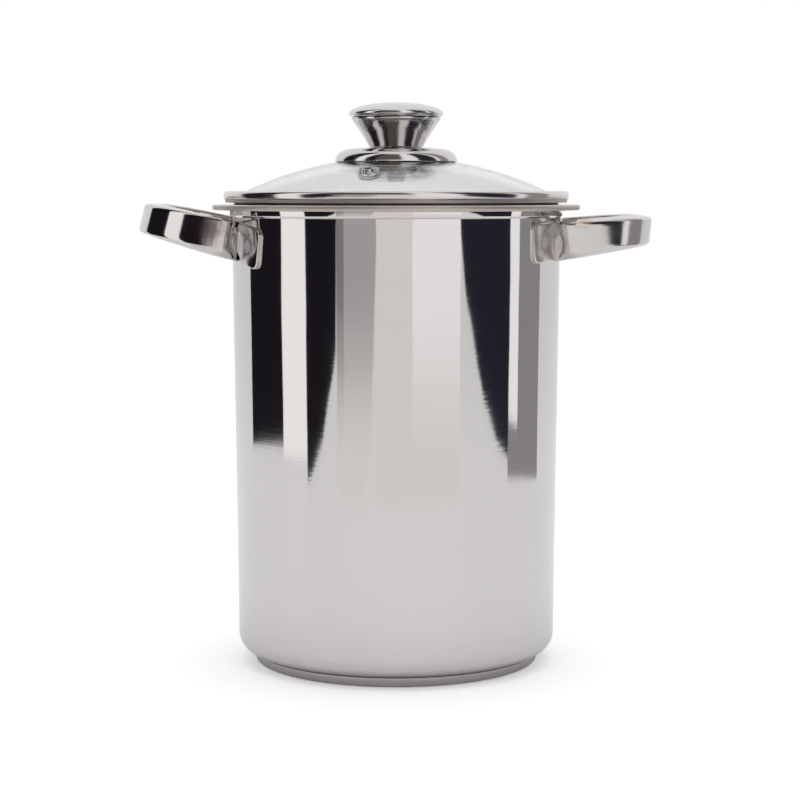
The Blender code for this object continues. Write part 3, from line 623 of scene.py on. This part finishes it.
# Painted shade: a dark brownish patch at the left strap's root stands in for a dark reflection there.
painted_root_shade = (0.40, 0.33, 0.30)
handles = {
    "left": {
        "side": -1,
        "rise": 0.245,
        "ear_slope": 0.17,
        "roll": 0,
        "roughness": (0.04, 0.10),
        "ear_colour": (0.50, 0.48, 0.51),
        "root_stain_and_shade": painted_root_shade,
        "root_reach": 14 * MM,
        "root_height": 6 * MM,
    },
    "right": {
        "side": 1,
        "rise": 0.117,
        "ear_slope": 0.02,
        "roll": 12.5,
        "roughness": (0.08, 0.20),
        "ear_colour": (0.84, 0.79, 0.74),
        "root_stain_and_shade": brown,
        "root_reach": 8 * MM,
        "root_height": 12 * MM,
    },
}
for side_name, made in handles.items():
    side = made["side"]
    strap = make_handle("handle_" + side_name + "_steel", side, made["rise"], made["roll"], made["ear_slope"])
    steel_name = "handle_steel_" + side_name
    wavy = {"waviness": 0.10, "depth": 0.01, "lines": 300}
    steel = polished_steel(steel_name, handle_crest, handle_valley, made["roughness"], **wavy)
    for front in (1, -1):
        spot, way = weld_spot(side, front, made["ear_slope"])
        root_height = fold_height + made["root_height"]
        root = Vector((side * (bow_centre + 10 * MM), -front * 41 * MM, root_height))
        lay_tint_and_shade(steel, spot, 11 * MM, made["ear_colour"], 1.0, 0.36)
        lay_tint_and_shade(steel, spot, 5.5 * MM, straw, 0.5, 0.36)
        # At each root, the left strap gets painted shade and the right strap a brown patch.
        lay_tint_and_shade(steel, root, made["root_reach"], made["root_stain_and_shade"], 0.85, 0.22)
    finish_piece(strap, steel, "pot", "handle_steel", "handle_" + side_name)

# ------------------------------------------------------------------------------------------------------
# Spot welds. Each is a small slug of melted and pressed steel, low in its dimple, with a raised ring that
# the electrode left. Matt grey, because it was never polished.

weld_grey = plain_finish("weld_grey", (0.84, 0.86, 0.93), (0.62, 0.63, 0.70), 0.34, 1.0, 1400, 0.35)
weld_radius = 3.3 * MM
weld_sink = 0.25 * MM
weld_root = -1.2 * MM
weld_shape = ((0.25, 0.05), (0.55, 0.02), (0.72, 0.16), (0.86, 0.24), (1, 0.1))
weld_line = [(share * weld_radius, height * MM) for share, height in weld_shape]
weld_line += [(weld_radius, weld_root)]
for side_name, made in handles.items():
    for end, front in (("front", 1), ("rear", -1)):
        weld_name = "weld_" + side_name + "_" + end
        spot, way = weld_spot(made["side"], front, made["ear_slope"])
        slug = turn(weld_name + "_slug", weld_line, sides=40, closed_start=True)
        close_up(slug)
        facing = way.to_track_quat("Z", "Y").to_matrix().to_4x4()
        slug.data.transform(Matrix.Translation(spot - way * weld_sink) @ facing)
        smooth(slug)
        finish_piece(slug, weld_grey, "pot", "weld_steel", weld_name)

# ------------------------------------------------------------------------------------------------------
# Lid glass. A shallow dome of clear tempered glass, ground at its edge, with a hole for the screw and one
# for the steam vent.

glass_low, glass_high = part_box("lid_glass")
glass_radius = glass_high.x
glass_crown = glass_high.z
glass_thickness = 3.5 * MM
glass_rise = 19.05 * MM
glass_edge = 0.5 * MM
screw_hole = 5.0 * MM
vent_hole = 3.4 * MM
dome_radius = (glass_radius**2 + glass_rise**2) / (2 * glass_rise)
dome_centre = glass_crown - dome_radius


def on_glass(radius, depth=0.0):
    """Height of the glass at a distance from the axis, on its outside or a depth into it."""
    return dome_centre + sqrt((dome_radius - depth) ** 2 - radius**2)


glass_steps = 26
glass_width = glass_radius - glass_edge - screw_hole
radii = [screw_hole + glass_width * i / glass_steps for i in range(glass_steps + 1)]
glass_line = [(r, on_glass(r)) for r in radii]
glass_line += [(glass_radius, on_glass(glass_radius) - glass_edge)]
glass_line += [(glass_radius, on_glass(glass_radius, glass_thickness) + glass_edge)]
glass_line += [(r, on_glass(r, glass_thickness)) for r in radii[::-1]]
glass_line += [glass_line[0]]
glass = turn("lid_glass_dome", glass_line)
close_up(glass)

vent_low, vent_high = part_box("vent_eyelet")
vent_middle = (vent_low + vent_high) / 2
vent_offset = 50.8 * MM
vent_way = atan2(vent_middle.y, vent_middle.x)
vent_spot = Vector((vent_offset * cos(vent_way), vent_offset * sin(vent_way), on_glass(vent_offset)))
vent_upright = (vent_spot - Vector((0, 0, dome_centre))).normalized()
vent_place = Matrix.Translation(vent_spot) @ vent_upright.to_track_quat("Z", "Y").to_matrix().to_4x4()
bpy.ops.object.select_all(action="DESELECT")
bpy.ops.mesh.primitive_cylinder_add(vertices=48, radius=vent_hole, depth=6 * glass_thickness)
drill = bpy.context.object
drill.data.transform(vent_place)
modify(glass, "BOOLEAN", operation="DIFFERENCE", object=drill)
bpy.data.objects.remove(drill)
smooth(glass, 30)


def clear_glass():
    """Glass with a faint green-grey body, and a thin uneven film of dust and wipe marks."""
    made, tree, shader = new_finish("clear_glass", {"Transmission Weight": 1.0, "IOR": 1.5})
    place = node(tree, "ShaderNodeTexCoord")
    film = node(tree, "ShaderNodeTexNoise", {"Scale": 14, "Detail": 5})
    haze = node(tree, "ShaderNodeMapRange", {"To Min": 0, "To Max": 0.07})
    bodies = {"A": (0.90, 0.91, 0.915, 1), "B": (0.94, 0.95, 0.955, 1)}
    tint = node(tree, "ShaderNodeMix", bodies, data_type="RGBA")
    tree.links.new(place.outputs["Object"], film.inputs["Vector"])
    tree.links.new(film.outputs["Fac"], haze.inputs["Value"])
    tree.links.new(haze.outputs["Result"], shader.inputs["Roughness"])
    tree.links.new(film.outputs["Fac"], tint.inputs["Factor"])
    tree.links.new(tint.outputs["Result"], shader.inputs["Base Color"])
    return made


finish_piece(glass, clear_glass(), "lid", "clear_glass", "lid_glass")

# ------------------------------------------------------------------------------------------------------
# Lid rim. A steel strip rolled into a channel round the edge of the glass. Its wide upper band stands out
# over a narrower one that sits on the lip, and its toe turns in under the glass, down in the pot's mouth.

rim_low, rim_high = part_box("lid_rim")
rim_radius = rim_high.x
rim_top = rim_high.z
rim_wall = 0.5 * MM
seat_gap = 0.3 * MM
rim_seat = lip_top + seat_gap
rim_step = 0.8 * MM
rim_step_height = lip_top + 1.7 * MM
rim_shoulder = 1.7 * MM
grip_radius = glass_radius - 2.9 * MM
mouth_radius = bore_radius - 0.35 * MM
toe_radius = glass_radius - 2.0 * MM
under_glass = seat_gap + 1.2 * rim_wall
toe_bend = 0.4 * MM
rim_line = [(grip_radius, on_glass(grip_radius) + seat_gap + rim_wall)]
rim_line += [(grip_radius + 1.5 * MM, rim_top - 0.12 * MM)]
rim_line += arc((rim_radius - rim_shoulder, rim_top - rim_shoulder), rim_shoulder, 90, 0, 9)
rim_line += [(rim_radius, rim_step_height + 0.9 * MM), (rim_radius - 0.25 * MM, rim_step_height + 0.45 * MM)]
rim_line += [(rim_radius - rim_step, rim_step_height + 0.1 * MM)]
rim_line += arc((rim_radius - rim_step - toe_bend, rim_seat + toe_bend), toe_bend, 0, -90, 5)
rim_line += [(mouth_radius + rim_wall, rim_seat)]
rim_line += [(r, on_glass(r, glass_thickness) - under_glass) for r in (mouth_radius, toe_radius)]
rim = turn("lid_rim_steel", rim_line, sides=192)
thicken(rim, rim_wall, edge=0.1 * MM)
smooth(rim)
rim_steel = polished_steel("rim_steel", (0.70, 0.68, 0.665), (0.67, 0.65, 0.635), (0.13, 0.20))
stretch_glints(rim_steel, 0.4)
# Painted shade: the narrow band that sits on the lip, under the rim's step, gets the same beige speckled shade.
paint_dull_shaded_band(rim_steel, rim_seat, rim_step_height + 0.5 * MM, painted_lip_shade, 0.5)
finish_piece(rim, rim_steel, "lid", "polished_steel", "lid_rim")

# ------------------------------------------------------------------------------------------------------
# Steam vent. A steel eyelet pushed through the glass from above and spread over a washer underneath. From
# above it is a low flange with a raised, rounded collar round the bore.

eyelet_bore = 1.9 * MM
eyelet_line = [(eyelet_bore, -4.6 * MM), (eyelet_bore, 1.2 * MM)]
eyelet_line += arc((2.45 * MM, 1.45 * MM), 0.55 * MM, 180, 0, 8)
eyelet_line += [(2.95 * MM, 0.95 * MM), (3.6 * MM, 0.85 * MM)]
eyelet_line += arc((4.75 * MM, 0.55 * MM), 0.42 * MM, 100, -70, 8)
eyelet_line += [(4.6 * MM, 0.1 * MM), (3.1 * MM, 0.1 * MM), (3.1 * MM, -4.3 * MM)]
eyelet_line += [(4.4 * MM, -4.9 * MM), (4.1 * MM, -5.2 * MM), (2.6 * MM, -5.1 * MM), eyelet_line[0]]
eyelet = turn("vent_eyelet_steel", eyelet_line, sides=64)
washer_line = [(3.4 * MM, -3.95 * MM), (5.4 * MM, -3.95 * MM), (5.6 * MM, -4.15 * MM), (5.6 * MM, -4.45 * MM)]
washer_line += [(5.4 * MM, -4.65 * MM), (3.4 * MM, -4.65 * MM), washer_line[0]]
vent_washer = turn("vent_washer_steel", washer_line, sides=48)
fitting_finish = ((0.66, 0.65, 0.645), (0.60, 0.59, 0.58), (0.09, 0.18))
fitting_steel = polished_steel("fitting_steel", *fitting_finish, waviness=0.05)
for piece, cad_node in ((eyelet, "vent_eyelet"), (vent_washer, "vent_washer")):
    close_up(piece)
    piece.data.transform(vent_place)
    smooth(piece)
    finish_piece(piece, fitting_steel, "lid", "fitting_steel", cad_node)

# ------------------------------------------------------------------------------------------------------
# Knob base. A dished steel plate that spreads the knob's load on the glass: flat under the knob, then
# rounded down to its edge on the glass.

base_low, base_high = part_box("knob_base")
plate_radius = base_high.x
plate_top = base_high.z
plate_foot = base_low.z
plate_flat = 22.5 * MM
plate_slope = plate_radius - plate_flat
plate_drop = 0.7 * MM
plate_side = plate_top - plate_drop - plate_foot
plate_hole = 2.9 * MM
knob_wall = 0.8 * MM
plate_line = [(plate_hole, plate_top), (13 * MM, plate_top), (17 * MM, plate_top - 0.25 * plate_drop)]
plate_line += arc((plate_flat, plate_foot), plate_slope, 90, 0, 16, squash=plate_side / plate_slope)
plate = turn("knob_base_steel", plate_line, sides=128)
thicken(plate, knob_wall, edge=sheet_edge)
smooth(plate)
knob_finish = ((0.69, 0.67, 0.66), (0.66, 0.64, 0.63), (0.10, 0.17))
knob_steel = polished_steel("knob_steel", *knob_finish, waviness=0.01, depth=0.004)
finish_piece(plate, knob_steel, "lid", "polished_steel", "knob_base")

# ------------------------------------------------------------------------------------------------------
# Knob. A tapered steel shell, wide at the top so that fingers can lift it, and a domed cap pressed into its
# mouth, with a thin line between the two.

shell_low, shell_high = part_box("knob_body")
shell_top = shell_high.z
shell_foot = shell_low.z
shell_radius = shell_high.x
shell_foot_radius = 13.5 * MM
land = 0.6 * MM
shell_line = [(plate_hole, shell_foot), (shell_foot_radius - land, shell_foot)]
shell_line += [(shell_foot_radius - 0.2 * MM, shell_foot + 0.15 * MM), (shell_foot_radius, shell_foot + land)]
shell_steps = 10
for i in range(1, shell_steps + 1):
    share = i / shell_steps
    bow_in = 0.25 * MM * sin(pi * share)
    height = shell_foot + land + (shell_top - 2 * land - shell_foot) * share
    shell_line.append((shell_foot_radius + (shell_radius - shell_foot_radius) * share - bow_in, height))
shell_line += [(shell_radius, shell_top)]
shell = turn("knob_shell_steel", shell_line, sides=128)
thicken(shell, knob_wall, edge=sheet_edge)
smooth(shell)
finish_piece(shell, knob_steel, "lid", "polished_steel", "knob_body")

knob_cap_low, knob_cap_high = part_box("knob_cap")
cap_rim_radius = knob_cap_high.x
crown_top = knob_cap_high.z
cap_seat = shell_top + seat_gap
cap_lip = 0.45 * MM
crown_wall = 0.6 * MM
cap_widest = shell_top + 2.0 * MM
crown_line = arc((0, cap_widest), cap_rim_radius, 88, 6, 24, squash=(crown_top - cap_widest) / cap_rim_radius)
crown_line += arc((cap_rim_radius - cap_lip, cap_widest - 0.05 * MM), cap_lip, 10, -50, 5)
crown_line += [(shell_radius + 0.15 * MM, cap_seat + 0.12 * MM), (shell_radius - 0.1 * MM, cap_seat)]
crown_line += [(shell_radius - 1.5 * MM, cap_seat), (shell_radius - 2.9 * MM, cap_seat - 2.0 * MM)]
crown = turn("knob_cap_steel", crown_line, sides=128, closed_start=True)
thicken(crown, crown_wall, edge=0.08 * MM)
smooth(crown)
crown_finish = ((0.74, 0.73, 0.725), (0.71, 0.70, 0.695), (0.15, 0.22))
crown_steel = polished_steel("knob_cap_steel", *crown_finish, waviness=0.01, depth=0.004)
finish_piece(crown, crown_steel, "lid", "polished_steel", "knob_cap")

# ------------------------------------------------------------------------------------------------------
# What fixes the knob, seen through the glass: a screw with a cross slot, its two washers and the dark seals
# on each side of the glass. The insert is shut inside the knob.

silicone = plain_finish("silicone", (0.13, 0.13, 0.14), (0.18, 0.18, 0.19), 0.6, 0.0, 700, 0.15)
for cad_node in ("upper_seal", "lower_seal"):
    dress(cad_node, silicone)
for cad_node in ("knob_insert", "knob_screw", "flat_washer", "spring_washer"):
    dress(cad_node, fitting_steel)

# ------------------------------------------------------------------------------------------------------
# Studio. A pale floor and a white surround, soft light from above, and tall cards round the pot that only
# polished metal mirrors. The camera stands a metre away, a little above the lip.


def ray_mask(tree, *kinds):
    """1 for a ray of one of these kinds, else 0."""
    rays = node(tree, "ShaderNodeLightPath")
    total = rays.outputs[kinds[0]]
    for kind in kinds[1:]:
        either = node(tree, "ShaderNodeMath", operation="MAXIMUM")
        tree.links.new(total, either.inputs[0])
        tree.links.new(rays.outputs[kind], either.inputs[1])
        total = either.outputs[0]
    return total


world = bpy.data.worlds.new("surround")
bpy.context.scene.world = world
world.use_nodes = True
sky = world.node_tree.nodes["Background"]
sky.inputs["Color"].default_value = (1, 1, 1, 1)
level = node(world.node_tree, "ShaderNodeMapRange", {"To Min": 0.88, "To Max": 1.0})
seen_rays = ray_mask(world.node_tree, "Is Camera Ray", "Is Transmission Ray")
world.node_tree.links.new(seen_rays, level.inputs["Value"])
world.node_tree.links.new(level.outputs["Result"], sky.inputs["Strength"])

bpy.ops.object.select_all(action="DESELECT")
bpy.ops.mesh.primitive_plane_add(size=12, location=(0, 0, -0.3 * MM))
floor = bpy.context.object
floor.name = "floor"
pale = {"Base Color": (0.86, 0.86, 0.86, 1), "Roughness": 0.8, "Emission Color": (1, 1, 1, 1)}
floor_paint, floor_tree, paint = new_finish("floor_paint", pale)
glow = node(floor_tree, "ShaderNodeMath", {1: 0.30}, operation="MULTIPLY")
floor_tree.links.new(ray_mask(floor_tree, "Is Camera Ray", "Is Transmission Ray"), glow.inputs[0])
floor_tree.links.new(glow.outputs[0], paint.inputs["Emission Strength"])
floor.data.materials.append(floor_paint)

card_distance = 0.62
card_top = 2.2
front_top = 0.36


def round_pot(degrees, height, distance):
    """A point at this distance from the pot, measured round from the front towards +X."""
    angle = radians(degrees)
    return (distance * sin(angle), -distance * cos(angle), height)


def floor_fade_group():
    """Near the floor a card's colour melts into the floor's, so that it shows no lower edge."""
    tree, given, out = group("floor_fade", {"Colour": "Color"}, {"Colour": "Color"})
    place = node(tree, "ShaderNodeTexCoord")
    parts = node(tree, "ShaderNodeSeparateXYZ")
    heights = {"From Min": 0.02, "From Max": 0.16}
    rise = node(tree, "ShaderNodeMapRange", heights, interpolation_type="SMOOTHSTEP")
    mixed = node(tree, "ShaderNodeMix", {"A": (0.84, 0.825, 0.815, 1)}, data_type="RGBA")
    tree.links.new(place.outputs["Object"], parts.inputs["Vector"])
    tree.links.new(parts.outputs["Z"], rise.inputs["Value"])
    tree.links.new(rise.outputs["Result"], mixed.inputs["Factor"])
    tree.links.new(given.outputs["Colour"], mixed.inputs["B"])
    tree.links.new(mixed.outputs["Result"], out.inputs["Colour"])
    return tree


floor_fade = floor_fade_group()


def only_mirrored(made, colour, fades):
    """The card glows in this colour, and only polished metal shows it."""
    glowing = {"Base Color": (0, 0, 0, 1), "Specular IOR Level": 0, "Emission Strength": 1}
    glowing["Emission Color"] = (*colour, 1)
    board, tree, shader = new_finish(made.name, glowing)
    if fades:
        fade = node(tree, "ShaderNodeGroup", {"Colour": (*colour, 1)}, node_tree=floor_fade)
        tree.links.new(fade.outputs["Colour"], shader.inputs["Emission Color"])
    made.data.materials.append(board)
    made.visible_camera = False
    made.visible_diffuse = False
    made.visible_shadow = False
    made.visible_transmission = False


def card(name, colour, lower_edge, top=card_top, distance=card_distance, fades=False):
    """A curved card that only mirrors show, up from its lower edge, given as (degrees, height) in turn."""
    columns = []
    for (start, low), (end, high) in zip(lower_edge, lower_edge[1:]):
        count = max(1, round(abs(end - start) / 2))
        columns += [(start + (end - start) * i / count, low + (high - low) * i / count) for i in range(count)]
    columns.append(lower_edge[-1])
    bpy.ops.object.select_all(action="DESELECT")
    bpy.ops.mesh.primitive_grid_add(x_subdivisions=len(columns) - 1, y_subdivisions=1, size=1)
    made = bpy.context.object
    made.name = name
    for vert in made.data.vertices:
        degrees, height = columns[round((vert.co.x + 0.5) * (len(columns) - 1))]
        vert.co = round_pot(degrees, height if vert.co.y < 0 else top, distance)
    only_mirrored(made, colour, fades)


black = (0.012, 0.010, 0.014)
navy = (0.020, 0.018, 0.030)
card("card_far_left", black, [(-116, 0.036), (-81, 0.038)])
card("card_left_gap", (1.10, 1.09, 1.09), [(-81, 0.03), (-61, 0.03)])
card("card_left", black, [(-61, 0.014), (-58, 0.017), (-49.5, 0.043), (-39.7, 0.108), (-39.1, 0.2)])
card("card_left_fade", (0.25, 0.24, 0.24), [(-39.1, 0.0), (-34, 0.0)], top=front_top, fades=True)
grey_edge = [(-34, 0.0), (-22.5, 0.0), (-16.4, 0.03), (-12.8, 0.19)]
card("card_grey", (0.46, 0.44, 0.44), grey_edge, top=front_top, fades=True)
card("card_front", (0.84, 0.81, 0.80), [(-12.8, 0.0), (10.5, 0.0)], top=front_top, fades=True)
card("card_bright", (1.03, 1.02, 1.03), [(10.5, 0.0), (42, 0.0)], fades=True)
card("card_ceiling", (0.13, 0.105, 0.095), [(-39.1, front_top), (12, front_top)])
wedge_edge = [(39.5, 0.8), (40.9, 0.2), (46.2, 0.144), (59.6, 0.072), (71.4, 0.042)]
wedge_edge += [(79.6, 0.031), (80.5, 0.031)]
card("card_right", navy, wedge_edge)
card("card_right_gap", (1.05, 1.05, 1.07), [(80.5, 0.06), (89, 0.055)], distance=card_distance - 0.02)
card("card_far_right", (0.30, 0.29, 0.295), [(80.5, 0.013), (113, 0.013)])

bpy.ops.object.light_add(type="AREA", location=(0, 0, 1.6))
above = bpy.context.object
above.name = "light_above"
above.data.shape = "DISK"
above.data.size = 1.4
above.data.energy = 5
above.visible_glossy = False
above.visible_camera = False

camera_data = bpy.data.cameras.new("camera")
camera = bpy.data.objects.new("camera", camera_data)
bpy.context.scene.collection.objects.link(camera)
camera.location = (0, -1.0612, 0.235)
camera.rotation_euler = (radians(90 - 5.67), 0, 0)
camera_data.sensor_width = 36
camera_data.lens = 96.1
camera_data.shift_x = 0.0048
bpy.context.scene.camera = camera
bpy.context.scene.view_settings.view_transform = "Standard"
